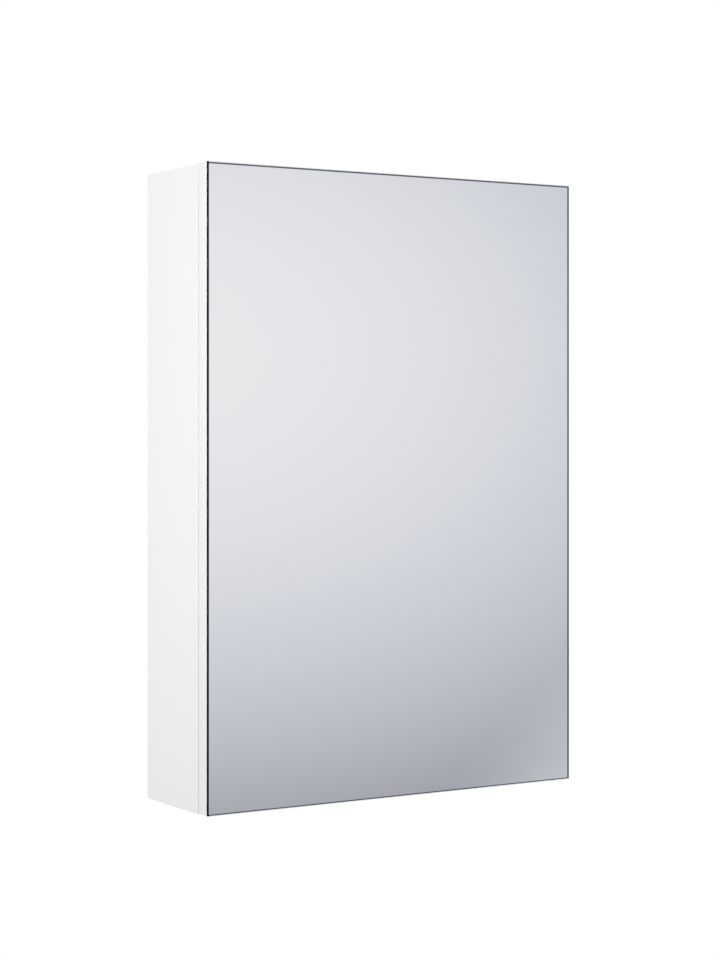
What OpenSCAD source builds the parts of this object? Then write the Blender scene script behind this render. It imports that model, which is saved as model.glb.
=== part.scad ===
// Bathroom mirror cabinet with one mirrored door.
// The wall is the plane y = 0 and the front faces -Y. +X is right and +Z is up.
// The origin is the centre of the four wall screw holes, on the wall plane.

/* [Carcass] */
// Width across the side panels
cabinet_w = 480; // [420:1:600]
// Height of the side panels
cabinet_h = 700; // [660:1:900]
// Depth from the wall to the front of the front edging
carcass_d = 122; // [116:1:160]
// Thickness of the carcass boards
board_t = 16; // [16:1:19]
// Thickness of the plastic edging on cut board edges
edging_t = 1; // [0.4:0.1:2]
// Thickness of the back panel
back_t = 3; // [2.5:0.5:4]
// Height of each hanging rail
rail_h = 90; // [70:1:110]

/* [Door] */
// Gap between the closed door and the carcass
door_gap = 2; // [2:0.1:2.4]
// Thickness of the door board
door_board_t = 18; // [16:1:19]
// Thickness of the tape that holds the mirror
tape_t = 1; // [0.8:0.1:1.6]
// Thickness of the mirror glass
mirror_t = 4; // [3:1:5]
// Width of the polished arris round the mirror
arris = 0.8; // [0.4:0.1:1.2]
// How much higher than the carcass the door hangs
door_rise = 1.2; // [0:0.1:2]

/* [Shelves] */
// Thickness of each glass shelf
shelf_t = 5; // [4:1:6]
// Clearance between a shelf and each side panel
shelf_end_gap = 2.5; // [1.5:0.1:4]
// Clearance in front of and behind a shelf
shelf_depth_gap = 2.5; // [1.5:0.1:6]
// Height of the shelf pin rows above and below the middle of the cabinet
shelf_pin_z = 112; // [90:1:130]
// Distance between shelf pin holes in a column
pin_pitch = 32; // [25:1:32]

/* [Wall fixing] */
// Distance between the wall screw holes from side to side
wall_hole_x = 360; // [300:1:380]
// Distance between the wall screw holes from top to bottom
wall_hole_z = 580; // [520:1:580]
// Radius of each wall screw hole
wall_hole_r = 3.5; // [2.5:0.1:4]

/* [Hinges] */
// Distance of each hinge from the middle of the cabinet
hinge_z = 250; // [210:1:270]
// Radius of the hinge cup
cup_r = 17.5; // [17.5:0.1:17.6]
// Distance from the edge of the door to the middle of the cup
cup_edge = 22.5; // [22.5:0.1:23]
// Distance from the front of the carcass back to the plate screws
plate_setback = 37; // [37:0.5:38]
// Distance between the two plate screws
plate_screw_pitch = 32; // [32:1:34]

/* [Hidden] */
$fn = 48;

// A cut tool runs this far past the face it opens
over = 1;
// Clearance round a fixed fastener in its hole
snug = 0.05;
// The round corners of a bent strip stand out this far
corner_swell = 0.01;

// Colours
board_white = [0.95, 0.95, 0.94];
edging_white = [0.93, 0.93, 0.92];
hardboard_white = [0.90, 0.90, 0.88];
beech = [0.80, 0.66, 0.47];
zinc = [0.72, 0.73, 0.75];
bright_steel = [0.80, 0.81, 0.83];
clear_plastic = [0.88, 0.90, 0.90];
white_plastic = [0.94, 0.94, 0.93];
shelf_green = [0.80, 0.89, 0.86, 0.5];
mirror_silver = [0.80, 0.83, 0.86];
tape_grey = [0.35, 0.35, 0.36];

// Carcass
inner_w = cabinet_w - 2 * board_t;
inner_h = cabinet_h - 2 * board_t;
panel_d = carcass_d - edging_t;
seam_gap = 0.1;
half_w = cabinet_w / 2;
half_h = cabinet_h / 2;
inner_x = inner_w / 2;
inner_z = inner_h / 2;

// Back panel in its grooves, just in front of the hanging rails
rail_t = 16;
groove_depth = 7;
groove_play = 0.2;
groove_w = back_t + groove_play;
groove_front_y = -rail_t - groove_w;
back_front_y = groove_front_y + groove_play / 2;
back_edge_play = 0.5;

// Joints between the boards, as distances from the wall
cam_ys = [-30, -100];
dowel_ys = [-50, -80];
dowel_r = 4;
dowel_l = 30;
dowel_in_side = 10;
dowel_x = inner_x + dowel_in_side - dowel_l;
joint_z = half_h - board_t / 2;
cam_r = 7.5;
cam_depth = 12.2;
cam_from_end = 24;
cam_x = inner_x - cam_from_end;
cam_bolt_r = 2.5;
cam_bolt_in_side = 11;
cam_bore_r = 4;
cap_r = 8.5;
cap_t = 1;
cap_spigot_r = 1.5;
cap_spigot_l = 2;
rail_dowel_rises = [20, 70];
rail_dowel_y = -rail_t / 2;

// Shelves and their pins
inner_front_y = -carcass_d;
inner_back_y = groove_front_y;
shelf_front_y = inner_front_y + shelf_depth_gap;
shelf_back_y = inner_back_y - shelf_depth_gap;
pin_ys = [-44, -98];
pin_r = 2.5;
pin_depth = 10;
pin_collar_r = 4;
pin_collar_t = 1;
pin_reach = 7.5;
pad_r = 3.2;
pad_l = 6;
shelf_corner_r = 3;
shelf_arris = 0.5;

// Door, from its back face forward
door_back_y = -carcass_d - door_gap;
door_face_y = door_back_y - door_board_t;
glass_back_y = door_face_y - tape_t;
glass_front_y = glass_back_y - mirror_t;
arris_back_y = glass_front_y + arris;
tape_w = 25;
tape_inset = 6;
tape_count = 5;
bumper_r = 4.5;
bumper_t = door_gap - 0.15;
bumper_inset = 8;

// Hinge plan. u runs in from the right outer face, v runs forward from the carcass front,
// and w is the height above the middle of the hinge.
arm_pivot_outer = [33, -14];
arm_pivot_inner = [28.8, -3.5];
cup_pivot_outer = [8.8, 4.3];
cup_pivot_inner = [9.7, 9.4];
// Middle of the wide eye that leaves the inner cup pivot free
loose_eye = [9.0, 10.2];
loose_eye_hole_r = 2.1;
loose_eye_r = 2.85;
arm_pin_r = 1.2;
cup_pin_r = 0.9;
running = 0.05;
outer_link_path = [
    cup_pivot_outer, [13.6, 6.0], [18.2, 4.6], [19.8, -3.5], [25.2, -12.0], arm_pivot_outer
];
inner_link_path = [loose_eye, [11.6, 12.3], [18.6, 12.4], [25.4, 6.5], arm_pivot_inner];
outer_link_w = 2.4;
inner_link_w = 2.2;
link_web_t = 1.2;
outer_plate = [3.9, 5.1];
inner_plate = [1.7, 2.9];
cheek_plate = [5.5, 6.7];
cup_depth = 12.5;
cup_wall = 0.6;
flange_t = 1;
flange_edge = 4.4;
cup_screw_offset = 9.5;
cup_screw_half_pitch = 22.5;
cup_screw_r = 1.5;
cup_pin_half_l = 7.9;
lug_end = 11.2;
lug_top = 0.6;
arm_top = 35.8;
arm_web_t = 1.2;
arm_back = arm_top + arm_web_t;
arm_rear = -64;
plate_t = 2;
plate_top = board_t + plate_t;
plate_screw_depth = 12;
ridge_half_w = 5.3;
ridge_top = 31;
ridge_front = -26;
ridge_rear = -60;
side_screw_v = -31;
side_screw_r = 2.5;
depth_screw_v = -52;
depth_screw_r = 2;

// A box between two corners
module box(low, high) {
    translate(low) cube(high - low);
}

// A round bar along X from x0, length l
module bar_x(x0, y, z, r, l) {
    translate([x0, y, z]) rotate([0, 90, 0]) cylinder(r = r, h = l);
}

// A round bar along Y from y0 forward, towards -Y
module bar_y(x, y0, z, r, l) {
    translate([x, y0, z]) rotate([90, 0, 0]) cylinder(r = r, h = l);
}

// Copies at both ends of the cabinet, x mirrored
module both_sides() {
    for (side = [0, 1]) mirror([side, 0, 0]) children();
}

// Copies at the top and the bottom, z mirrored
module top_and_bottom() {
    for (side = [0, 1]) mirror([0, 0, side]) children();
}

// A cross-shaped recess of length, width and depth, cut down from z = 0
module cross_recess(drive) {
    for (turn = [0, 90]) rotate([0, 0, turn])
        translate([-drive[0] / 2, -drive[1] / 2, -drive[2]]) cube(drive + [0, 0, over]);
}

// Height of a dowel in the upper hanging rail
function rail_dowel_z(rise) = inner_z - rail_h + rise;

// Holes that a side panel needs, drawn for the right-hand one
module side_panel_drillings() {
    for (y = dowel_ys) bar_x(inner_x - over, y, joint_z, dowel_r, dowel_in_side + over);
    for (y = cam_ys) bar_x(inner_x - over, y, joint_z, cam_bolt_r, cam_bolt_in_side + over);
    for (rise = rail_dowel_rises)
        bar_x(inner_x - over, rail_dowel_y, rail_dowel_z(rise), dowel_r, dowel_in_side + over);
    for (y = pin_ys, step = [-1, 0, 1])
        bar_x(inner_x - over, y, shelf_pin_z + step * pin_pitch, pin_r, pin_depth + over);
}

// A plain side panel with its groove and drillings, drawn on the right
module side_panel() {
    difference() {
        box([inner_x, -panel_d, -half_h], [half_w, 0, half_h]);
        box([inner_x - over, groove_front_y, -inner_z - groove_depth],
            [inner_x + groove_depth, -rail_t, inner_z + groove_depth]);
        top_and_bottom() side_panel_drillings();
    }
}

module side_panel_left() {
    color(board_white) mirror([1, 0, 0]) side_panel();
}

module side_panel_right() {
    color(board_white) difference() {
        side_panel();
        for (z = [-hinge_z, hinge_z], end = [-1, 1])
            bar_x(inner_x - over, plate_setback - carcass_d, z + end * plate_screw_pitch / 2,
                  pin_r, plate_screw_depth + over);
    }
}

// The top panel with its groove, dowel holes, cam pockets and bolt bores
module top_board() {
    difference() {
        box([-inner_x, -panel_d, inner_z], [inner_x, 0, half_h]);
        box([-inner_x - over, groove_front_y, inner_z - over],
            [inner_x + over, -rail_t, inner_z + groove_depth]);
        both_sides() {
            for (y = dowel_ys) bar_x(dowel_x, y, joint_z, dowel_r, dowel_l);
            for (y = cam_ys) {
                translate([cam_x, y, inner_z - over]) cylinder(r = cam_r, h = cam_depth + over);
                bar_x(cam_x, y, joint_z, cam_bore_r, cam_from_end + over);
            }
        }
    }
}

module top_panel() {
    color(board_white) top_board();
}

module bottom_panel() {
    color(board_white) mirror([0, 0, 1]) top_board();
}

// Bores for the four wall screws
module wall_screw_bores() {
    for (x = [-1, 1], z = [-1, 1])
        bar_y(x * wall_hole_x / 2, over, z * wall_hole_z / 2, wall_hole_r, rail_t + groove_w + 2 * over);
}

module back_panel() {
    reach = groove_depth - back_edge_play;
    color(hardboard_white) difference() {
        box([-inner_x - reach, back_front_y, -inner_z - reach],
            [inner_x + reach, back_front_y + back_t, inner_z + reach]);
        wall_screw_bores();
    }
}

// A hanging rail behind the back panel, drawn at the top
module hanging_rail() {
    difference() {
        box([-inner_x, -rail_t, inner_z - rail_h], [inner_x, 0, inner_z]);
        wall_screw_bores();
        both_sides() for (rise = rail_dowel_rises)
            bar_x(dowel_x, rail_dowel_y, rail_dowel_z(rise), dowel_r, dowel_l);
    }
}

module upper_hanging_rail() {
    color(board_white) hanging_rail();
}

module lower_hanging_rail() {
    color(board_white) mirror([0, 0, 1]) hanging_rail();
}

// Strips on the front edges of the four carcass boards
module carcass_edging() {
    color(edging_white) {
        both_sides() box([inner_x, -carcass_d, -half_h], [half_w, -panel_d, half_h]);
        top_and_bottom()
            box([-inner_x + seam_gap, -carcass_d, inner_z], [inner_x - seam_gap, -panel_d, half_h]);
    }
}

module panel_dowels() {
    color(beech) top_and_bottom() both_sides() for (y = dowel_ys)
        bar_x(dowel_x, y, joint_z, dowel_r - snug, dowel_l - snug);
}

module rail_dowels() {
    color(beech) top_and_bottom() both_sides() for (rise = rail_dowel_rises)
        bar_x(dowel_x, rail_dowel_y, rail_dowel_z(rise), dowel_r - snug, dowel_l - snug);
}

// One cam, open towards the side panel for the head of its bolt
module cam_lock() {
    set_back = 0.2;
    mouth_start = -2;
    centre_hole_r = 1.6;
    centre_hole_depth = 2.4;
    drive = [7.2, 1.2, 2.2];
    difference() {
        translate([0, 0, set_back])
            cylinder(r = cam_r - 2 * snug, h = cam_depth - set_back - 2 * snug);
        bar_x(mouth_start, 0, board_t / 2, cam_bore_r, cam_r + over - mouth_start);
        translate([0, 0, -over]) cylinder(r = centre_hole_r, h = over + centre_hole_depth);
        mirror([0, 0, 1]) cross_recess(drive);
    }
}

module cam_locks() {
    color(zinc) top_and_bottom() both_sides() for (y = cam_ys)
        translate([cam_x, y, inner_z]) cam_lock();
}

// One cam bolt along +X from the middle of its cam: head, neck, body and screw thread
module cam_bolt() {
    head_r = 3.2;
    head_l = 2.5;
    neck_r = 1.8;
    body_r = 3.4;
    body_start = 5.5;
    bar_x(0, 0, 0, head_r, head_l);
    bar_x(0, 0, 0, neck_r, cam_from_end);
    bar_x(body_start, 0, 0, body_r, cam_from_end - body_start);
    bar_x(cam_from_end, 0, 0, cam_bolt_r - snug, cam_bolt_in_side - snug);
}

module cam_bolts() {
    color(zinc) top_and_bottom() both_sides() for (y = cam_ys)
        translate([cam_x, y, joint_z]) cam_bolt();
}

// Caps that hide the cams, each with a spigot in the cam
module cam_cover_caps() {
    color(white_plastic) top_and_bottom() both_sides() for (y = cam_ys)
        translate([cam_x, y, inner_z - cap_t]) {
            cylinder(r = cap_r, h = cap_t);
            cylinder(r = cap_spigot_r, h = cap_t + cap_spigot_l);
        }
}

// A shelf outline with rounded corners, shrunk by inset
module shelf_outline(inset) {
    x = inner_x - shelf_end_gap - inset;
    back = shelf_back_y - inset;
    front = shelf_front_y + inset;
    r = shelf_corner_r - inset;
    square_x = x - r;
    translate([-square_x, front]) square([2 * square_x, back - front]);
    translate([-x, front + r]) square([2 * x, back - front - 2 * r]);
    for (sx = [-1, 1], y = [front + r, back - r]) translate([sx * square_x, y]) circle(r = r);
}

// A glass shelf on the pads of its pins, with a small arris top and bottom
module glass_shelf(pin_z) {
    color(shelf_green) translate([0, 0, pin_z + pad_r]) {
        translate([0, 0, shelf_arris])
            linear_extrude(height = shelf_t - 2 * shelf_arris) shelf_outline(0);
        linear_extrude(height = shelf_t) shelf_outline(shelf_arris);
    }
}

module glass_shelf_upper() {
    glass_shelf(shelf_pin_z);
}

module glass_shelf_lower() {
    glass_shelf(-shelf_pin_z);
}

// The four pins under one shelf
module shelf_pins(pin_z) {
    color(bright_steel) both_sides() for (y = pin_ys) {
        bar_x(inner_x - pin_reach, y, pin_z, pin_r - 2 * snug, pin_reach + pin_depth - snug);
        bar_x(inner_x - pin_collar_t, y, pin_z, pin_collar_r, pin_collar_t);
    }
}

module shelf_pins_upper() {
    shelf_pins(shelf_pin_z);
}

module shelf_pins_lower() {
    shelf_pins(-shelf_pin_z);
}

// Clear sleeves on the pins that carry the glass
module shelf_pin_pads(pin_z) {
    color(clear_plastic) both_sides() for (y = pin_ys) difference() {
        bar_x(inner_x - pin_collar_t - pad_l, y, pin_z, pad_r, pad_l);
        bar_x(inner_x - pin_collar_t - pad_l - over, y, pin_z, pin_r - snug, pad_l + 2 * over);
    }
}

module shelf_pin_pads_upper() {
    shelf_pin_pads(shelf_pin_z);
}

module shelf_pin_pads_lower() {
    shelf_pin_pads(-shelf_pin_z);
}

// The door board with bores for the hinge cups and pilot holes for their screws
module door_board() {
    board_x = half_w - edging_t;
    board_z = half_h - edging_t;
    bore_depth = cup_depth + 0.2;
    pilot_depth = 12.5;
    cup_x = half_w - cup_edge;
    screw_x = cup_x - cup_screw_offset;
    start_y = door_back_y + over;
    color(board_white) difference() {
        translate([0, 0, door_rise])
            box([-board_x, door_face_y, -board_z], [board_x, door_back_y, board_z]);
        for (z = [-hinge_z, hinge_z]) {
            bar_y(cup_x, start_y, z, cup_r + snug, bore_depth + over);
            for (w = [-cup_screw_half_pitch, cup_screw_half_pitch])
                bar_y(screw_x, start_y, z + w, cup_screw_r + snug, pilot_depth + over);
        }
    }
}

// Four strips on the door's edges, the upright ones running through
module door_edging() {
    color(edging_white) translate([0, 0, door_rise]) {
        both_sides() box([half_w - edging_t, door_face_y, -half_h], [half_w, door_back_y, half_h]);
        top_and_bottom() box([-half_w + edging_t + seam_gap, door_face_y, half_h - edging_t],
                             [half_w - edging_t - seam_gap, door_back_y, half_h]);
    }
}

// Upright strips of tape, set back from the edges of the glass
module mirror_tape() {
    first_x = -half_w + tape_inset;
    step = (cabinet_w - 2 * tape_inset - tape_w) / (tape_count - 1);
    reach_z = half_h - tape_inset;
    color(tape_grey) for (i = [0:tape_count - 1]) translate([first_x + i * step, 0, door_rise])
        box([0, glass_back_y, -reach_z], [tape_w, door_face_y, reach_z]);
}

// Cross-section of the glass over a span, its two front corners cut back
module glass_section(half_span) {
    polygon([
        [-half_span, glass_back_y], [half_span, glass_back_y], [half_span, arris_back_y],
        [half_span - arris, glass_front_y], [-half_span + arris, glass_front_y],
        [-half_span, arris_back_y]
    ]);
}

// The mirror, its front edges cut back at 45 degrees all round
module mirror_glass() {
    color(mirror_silver) translate([0, 0, door_rise]) intersection() {
        translate([0, 0, -half_h]) linear_extrude(height = cabinet_h) glass_section(half_w);
        translate([half_w, 0, 0]) rotate([0, -90, 0])
            linear_extrude(height = cabinet_w) glass_section(half_h);
    }
}

// Two soft buffers on the back of the door, at its opening side
module door_bumpers() {
    dimple_r = 1.2;
    dimple_depth = 0.6;
    reach_z = half_h - bumper_inset;
    color(clear_plastic) for (z = [-reach_z, reach_z])
        translate([-half_w + bumper_inset, door_back_y + bumper_t, z + door_rise / 2])
            rotate([90, 0, 0]) difference() {
                cylinder(r = bumper_r, h = bumper_t);
                translate([0, 0, -over]) cylinder(r = dimple_r, h = over + dimple_depth);
            }
}

// The hinge plan frame at height z: children are drawn in u, v, w
module at_hinge(z) {
    translate([half_w, -carcass_d, z]) rotate([0, 0, 180]) children();
}

// A place in the hinge plan frame from which children stand along +u
module along_u(u, v, w = 0) {
    translate([u, v, w]) rotate([0, 90, 0]) children();
}

// A flat slice of a plan outline between two heights, and its copy below the middle
module plate_pair(span) {
    for (side = [0, 1]) mirror([0, 0, side])
        translate([0, 0, span[0]]) linear_extrude(height = span[1] - span[0]) children();
}

// A straight strip in the plan from p to q
module strip(p, q, width) {
    run = q - p;
    translate(p) rotate(atan2(run[1], run[0])) translate([0, -width / 2]) square([norm(run), width]);
}

// A strip along a path of plan points. Its round corners are a little wider, so that they cross its sides.
module bent_strip(path, width) {
    for (i = [0:len(path) - 2]) strip(path[i], path[i + 1], width);
    for (p = path) translate(p) circle(d = width + 2 * corner_swell);
}

// A pin through the plan point p
module plan_pin(p, r, half_l) {
    translate([p[0], p[1], -half_l]) cylinder(r = r, h = 2 * half_l);
}

// The plate on the side panel, with a ridge that the arm slides on
module hinge_plate(z) {
    wing_r = 6.5;
    base_half_w = 9;
    base_rear = ridge_rear - 2;
    base_front = ridge_front + 1;
    screw_hole_r = pin_r + 0.3;
    pocket_rear = -46;
    pocket_front = -38;
    pocket_low = plate_top + 2;
    pocket_high = ridge_top - 3;
    pocket_half_w = ridge_half_w + over;
    color(zinc) at_hinge(z) difference() {
        union() {
            along_u(board_t, -plate_setback) {
                for (end = [-1, 1])
                    translate([end * plate_screw_pitch / 2, 0, 0]) cylinder(r = wing_r, h = plate_t);
                translate([-plate_screw_pitch / 2, -wing_r, 0])
                    cube([plate_screw_pitch, 2 * wing_r, plate_t]);
            }
            box([board_t, base_rear, -base_half_w], [plate_top, base_front, base_half_w]);
            box([board_t, ridge_rear, -ridge_half_w], [ridge_top, ridge_front, ridge_half_w]);
        }
        for (end = [-1, 1]) along_u(board_t - over, -plate_setback, end * plate_screw_pitch / 2)
            cylinder(r = screw_hole_r, h = plate_t + 2 * over);
        along_u(plate_top, depth_screw_v) cylinder(r = depth_screw_r + snug, h = ridge_top);
        box([pocket_low, pocket_rear, -pocket_half_w], [pocket_high, pocket_front, pocket_half_w]);
    }
}

// Two pan-head screws that hold the plate
module hinge_plate_screws(z) {
    head_r = 4.2;
    head_h = 2.2;
    drive = [4.4, 0.9, 1.2];
    color(bright_steel) at_hinge(z) for (end = [-1, 1])
        along_u(board_t, -plate_setback, end * plate_screw_pitch / 2) {
            translate([0, 0, -plate_screw_depth + snug])
                cylinder(r = pin_r - snug, h = plate_screw_depth + plate_t);
            difference() {
                translate([0, 0, plate_t]) cylinder(r = head_r, h = head_h);
                translate([0, 0, plate_t + head_h]) cross_recess(drive);
            }
        }
}

// Plan outline of one cheek of the arm, from the nose back
module cheek_outline() {
    nose_r = 2.9;
    low = 24.5;
    shoulder_v = -10.5;
    belly_v = -20;
    throat = [27, -14];
    translate(arm_pivot_inner) circle(r = nose_r);
    polygon([
        arm_pivot_inner + [-2.6, -1.5], arm_pivot_inner + [2.4, 1.5],
        [arm_back, shoulder_v], [arm_back, arm_rear], [low, arm_rear], [low, belly_v], throat
    ]);
}

// The arm: two cheeks joined by a web on top
module hinge_arm(z) {
    web_front = -17.5;
    slot_half_l = 2;
    slot_r = depth_screw_r + 0.2;
    start = arm_top - over;
    cut_l = arm_web_t + 2 * over;
    color(bright_steel) at_hinge(z) difference() {
        union() {
            plate_pair(cheek_plate) cheek_outline();
            box([arm_top, arm_rear, -cheek_plate[1]], [arm_back, web_front, cheek_plate[1]]);
        }
        for (p = [arm_pivot_outer, arm_pivot_inner])
            plan_pin(p, arm_pin_r + snug / 2, cheek_plate[1] + over);
        along_u(start, side_screw_v) cylinder(r = side_screw_r + snug, h = cut_l);
        for (end = [-slot_half_l, slot_half_l])
            along_u(start, depth_screw_v + end) cylinder(r = slot_r, h = cut_l);
        box([start, depth_screw_v - slot_half_l, -slot_r],
            [start + cut_l, depth_screw_v + slot_half_l, slot_r]);
    }
}

// The screw that sets the overlay, threaded in the arm and bearing on the ridge
module hinge_side_screw(z) {
    low = ridge_top + snug;
    proud = 0.9;
    length = arm_back + proud - low;
    drive = [3.4, 0.8, 1];
    color(zinc) at_hinge(z) along_u(low, side_screw_v) difference() {
        cylinder(r = side_screw_r, h = length);
        translate([0, 0, length]) cross_recess(drive);
    }
}

// The screw that clamps the arm to the ridge through a slot
module hinge_depth_screw(z) {
    head_r = 3.6;
    head_h = 1.6;
    low = plate_top + 1;
    length = arm_back - low;
    drive = [4, 0.9, 1];
    color(zinc) at_hinge(z) along_u(low, depth_screw_v) difference() {
        union() {
            cylinder(r = depth_screw_r, h = length);
            translate([0, 0, length]) cylinder(r = head_r, h = head_h);
        }
        translate([0, 0, length + head_h]) cross_recess(drive);
    }
}

// Rivets that carry both links in the arm
module hinge_arm_pins(z) {
    head_t = 0.5;
    head_r = 1.9;
    color(bright_steel) at_hinge(z) for (p = [arm_pivot_outer, arm_pivot_inner]) {
        plan_pin(p, arm_pin_r, cheek_plate[1] + head_t);
        plate_pair([cheek_plate[1], cheek_plate[1] + head_t]) translate(p) circle(r = head_r);
    }
}

// A bent leaf that pushes the outer link shut
module hinge_spring(z) {
    leaf_t = 0.7;
    leaf_half_w = 3.3;
    seat_v = ridge_front + leaf_t / 2 + corner_swell;
    path = [[30.5, seat_v], [25.6, seat_v], [24.0, -20.5], [25.4, -15.8], [28.6, -14.4]];
    color(bright_steel) at_hinge(z) translate([0, 0, -leaf_half_w])
        linear_extrude(height = 2 * leaf_half_w) bent_strip(path, leaf_t);
}

// The web that joins the two plates of a link
module link_web(path, half_w) {
    translate([0, 0, -half_w]) linear_extrude(height = 2 * half_w) bent_strip(path, link_web_t);
}

// The outer link: two cranked plates joined by a web near the arm
module hinge_outer_link(z) {
    web_path = [[25.8, -12.2], [29.3, -13.1]];
    cup_eye_r = 2;
    arm_eye_r = 2.5;
    color(bright_steel) at_hinge(z) difference() {
        union() {
            plate_pair(outer_plate) {
                bent_strip(outer_link_path, outer_link_w);
                translate(cup_pivot_outer) circle(r = cup_eye_r);
                translate(arm_pivot_outer) circle(r = arm_eye_r);
            }
            link_web(web_path, outer_plate[1]);
        }
        plan_pin(cup_pivot_outer, cup_pin_r + running, outer_plate[1] + over);
        plan_pin(arm_pivot_outer, arm_pin_r + running, outer_plate[1] + over);
    }
}

// The inner link: its eye on the cup pin is wide, which is where the four-bar loop is open
module hinge_inner_link(z) {
    web_path = [[20.2, 11.0], [24.0, 7.7]];
    arm_eye_r = 2.4;
    color(bright_steel) at_hinge(z) difference() {
        union() {
            plate_pair(inner_plate) {
                bent_strip(inner_link_path, inner_link_w);
                translate(loose_eye) circle(r = loose_eye_r);
                translate(arm_pivot_inner) circle(r = arm_eye_r);
            }
            link_web(web_path, inner_plate[1]);
        }
        plan_pin(loose_eye, loose_eye_hole_r, inner_plate[1] + over);
        plan_pin(arm_pivot_inner, arm_pin_r + running, inner_plate[1] + over);
    }
}

// A place in the hinge plan frame from which children stand along +v, into the door
module along_v(u, v, w = 0) {
    translate([u, v, w]) rotate([-90, 0, 0]) children();
}

// The middle of the cup's mouth, on the back of the door
module at_cup(z) {
    at_hinge(z) along_v(cup_edge, door_gap) children();
}

// The two ears of the cup's flange, with round ends
module cup_ears(inner_r, half_l) {
    ear_r = 5;
    ear_u = cup_edge + cup_screw_offset;
    low_v = door_gap - flange_t;
    difference() {
        union() {
            box([ear_u - ear_r, low_v, ear_r - half_l], [ear_u + ear_r, door_gap, half_l - ear_r]);
            for (end = [-1, 1]) along_v(ear_u, low_v, end * (half_l - ear_r))
                cylinder(r = ear_r, h = flange_t);
        }
        along_v(cup_edge, 0) cylinder(r = inner_r, h = cup_depth);
    }
}

// The pressed cup with its flange and the two lugs that hold the cup pins
module hinge_cup(z) {
    ear_half_l = 29;
    rim_w = 2;
    inner_r = cup_r - cup_wall;
    well_depth = cup_depth - cup_wall;
    screw_hole_r = cup_screw_r + 0.2;
    pin_hole_half_l = cup_pin_half_l + 0.1;
    color(bright_steel) difference() {
        union() {
            at_cup(z) difference() {
                union() {
                    cylinder(r = cup_r, h = cup_depth);
                    translate([0, 0, -flange_t]) cylinder(r = cup_r + rim_w, h = flange_t);
                }
                translate([0, 0, -flange_t - over])
                    cylinder(r = inner_r, h = well_depth + flange_t + over);
            }
            at_hinge(z) {
                cup_ears(inner_r, ear_half_l);
                for (side = [0, 1]) mirror([0, 0, side]) cup_lug(inner_r);
            }
        }
        at_hinge(z) {
            box([0, 0, -ear_half_l], [flange_edge, door_gap, ear_half_l]);
            for (p = [cup_pivot_outer, cup_pivot_inner])
                plan_pin(p, cup_pin_r + snug / 2, pin_hole_half_l);
            for (w = [-cup_screw_half_pitch, cup_screw_half_pitch])
                along_v(cup_edge + cup_screw_offset, 0, w)
                    cylinder(r = screw_hole_r, h = door_gap + over);
        }
    }
}

// Solid part of the cup beside the links, which fills the round wall out to a flat face
module cup_lug(inner_r) {
    floor_v = door_gap + cup_depth - cup_wall;
    low_w = 5.5;
    high_w = 12.5;
    intersection() {
        box([cup_edge - cup_r, door_gap + lug_top, low_w], [lug_end, floor_v, high_w]);
        along_v(cup_edge, 0) cylinder(r = inner_r + cup_wall / 2, h = floor_v + over);
    }
}

// Pins across the cup, one for each link
module hinge_cup_pins(z) {
    color(bright_steel) at_hinge(z) for (p = [cup_pivot_outer, cup_pivot_inner])
        plan_pin(p, cup_pin_r, cup_pin_half_l);
}

// Two pan-head screws that hold the cup in the door
module hinge_cup_screws(z) {
    head_r = 3.3;
    head_h = 1.6;
    shank_l = 11;
    drive = [3.8, 0.8, 1];
    color(bright_steel) at_hinge(z) for (w = [-cup_screw_half_pitch, cup_screw_half_pitch])
        along_v(cup_edge + cup_screw_offset, door_gap - flange_t, w) {
            cylinder(r = cup_screw_r, h = shank_l + flange_t);
            difference() {
                translate([0, 0, -head_h]) cylinder(r = head_r, h = head_h);
                translate([0, 0, -head_h]) mirror([0, 0, 1]) cross_recess(drive);
            }
        }
}

side_panel_left();
side_panel_right();
top_panel();
bottom_panel();
back_panel();
upper_hanging_rail();
lower_hanging_rail();
carcass_edging();
panel_dowels();
rail_dowels();
cam_locks();
cam_bolts();
cam_cover_caps();
glass_shelf_upper();
glass_shelf_lower();
shelf_pins_upper();
shelf_pins_lower();
shelf_pin_pads_upper();
shelf_pin_pads_lower();
door_board();
door_edging();
mirror_tape();
mirror_glass();
door_bumpers();
hinge_plate(hinge_z);  // upper_hinge_plate
hinge_plate_screws(hinge_z);  // upper_hinge_plate_screws
hinge_arm(hinge_z);  // upper_hinge_arm
hinge_side_screw(hinge_z);  // upper_hinge_side_screw
hinge_depth_screw(hinge_z);  // upper_hinge_depth_screw
hinge_arm_pins(hinge_z);  // upper_hinge_arm_pins
hinge_spring(hinge_z);  // upper_hinge_spring
hinge_outer_link(hinge_z);  // upper_hinge_outer_link
hinge_inner_link(hinge_z);  // upper_hinge_inner_link
hinge_cup(hinge_z);  // upper_hinge_cup
hinge_cup_pins(hinge_z);  // upper_hinge_cup_pins
hinge_cup_screws(hinge_z);  // upper_hinge_cup_screws
hinge_plate(-hinge_z);  // lower_hinge_plate
hinge_plate_screws(-hinge_z);  // lower_hinge_plate_screws
hinge_arm(-hinge_z);  // lower_hinge_arm
hinge_side_screw(-hinge_z);  // lower_hinge_side_screw
hinge_depth_screw(-hinge_z);  // lower_hinge_depth_screw
hinge_arm_pins(-hinge_z);  // lower_hinge_arm_pins
hinge_spring(-hinge_z);  // lower_hinge_spring
hinge_outer_link(-hinge_z);  // lower_hinge_outer_link
hinge_inner_link(-hinge_z);  // lower_hinge_inner_link
hinge_cup(-hinge_z);  // lower_hinge_cup
hinge_cup_pins(-hinge_z);  // lower_hinge_cup_pins
hinge_cup_screws(-hinge_z);  // lower_hinge_cup_screws
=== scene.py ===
import math

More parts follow.
